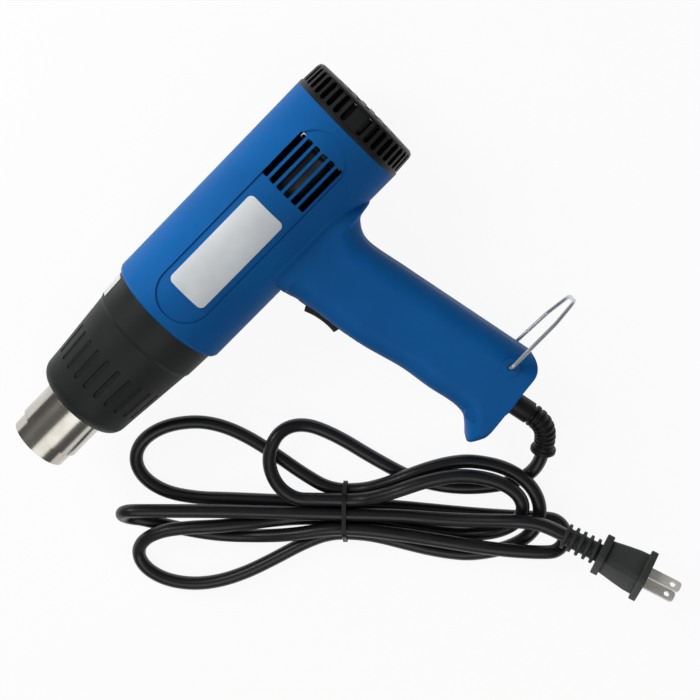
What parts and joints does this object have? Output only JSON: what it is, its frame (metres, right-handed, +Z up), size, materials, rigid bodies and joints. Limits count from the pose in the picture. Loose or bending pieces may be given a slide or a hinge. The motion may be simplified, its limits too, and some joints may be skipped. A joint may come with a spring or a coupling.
{
  "type": "embossing heat tool",
  "caption": "Pistol-shaped embossing heat tool with a round barrel, steel nozzle, rocker switch and hanging bail, lying on its side beside its bundled lead and plug.",
  "frame": {"origin": "centre of the footprint of the tool itself, on the surface that it lies on, without the lead and what is on it", "axes": "+X along the barrel from the nozzle to the rear cap, the tool's longest extent; +Y from the handle's end towards the barrel; +Z up from the surface, out of the tool's left side"},
  "size_m": [0.2954, 0.346, 0.072],
  "materials": {
    "blue_housing": "satin",
    "zinc_screw": "satin",
    "silver_label": "satin",
    "black_collar": "satin",
    "white_sticker": "matte",
    "nozzle_steel": "brushed",
    "mica": "satin",
    "heater_wire": "matte",
    "ceramic": "matte",
    "cutout_can": "satin",
    "duct_plastic": "matte",
    "fan_plastic": "satin",
    "motor_steel": "satin",
    "circuit_green": "gloss",
    "black_plastic": "satin",
    "screen_steel": "satin",
    "brass_tab": "satin",
    "bail_steel": "polished",
    "cord_rubber": "satin",
    "wire_white": "satin",
    "relief_rubber": "satin",
    "tie_black": "matte",
    "plug_plastic": "satin",
    "blade_nickel": "polished"
  },
  "bodies": {
    "housing": {"housing_left": "blue_housing", "housing_right": "blue_housing", "housing_screws": "zinc_screw", "label_plate": "silver_label", "front_collar": "black_collar", "collar_sticker": "white_sticker", "nozzle_tube": "nozzle_steel", "mica_sleeve": "mica", "heater_frame": "mica", "heater_coil": "heater_wire", "heater_base_disc": "ceramic", "thermal_cutout": "cutout_can", "air_duct": "duct_plastic", "motor_mount": "duct_plastic", "motor_can": "motor_steel", "circuit_board": "circuit_green", "rear_cap": "black_plastic", "intake_screen": "screen_steel", "switch_body": "black_plastic", "switch_terminals": "brass_tab", "cord_tail": "cord_rubber", "cord_clamp": "duct_plastic", "clamp_screws": "zinc_screw", "wire_harness": "wire_white", "strain_relief": "relief_rubber", "power_lead": "cord_rubber", "cord_hank": "cord_rubber", "plug_lead": "cord_rubber", "twist_tie": "tie_black", "plug_body": "plug_plastic", "plug_blades": "blade_nickel"},
    "rotor": {"fan_impeller": "fan_plastic", "motor_shaft": "zinc_screw"},
    "rocker": {"rocker_button": "black_plastic"},
    "bail": {"bail_wire": "bail_steel"}
  },
  "joints": [
    {"name": "fan_spin", "type": "hinge", "parent": "housing", "child": "rotor", "pos_m": [0.0348, 0.06863, 0.036], "axis": [1, 0, 0], "continuous": true},
    {"name": "rocker_tilt", "type": "hinge", "parent": "housing", "child": "rocker", "pos_m": [0.03292, 0.00688, 0.03097], "axis": [0, -0.0811, 0.9967], "range_deg": [-10, 10]},
    {"name": "bail_swing", "type": "hinge", "parent": "housing", "child": "bail", "pos_m": [0.0847, -0.08347, 0.02362], "axis": [0, -0.0811, 0.9967], "range_deg": [-85, 75]}
  ]
}
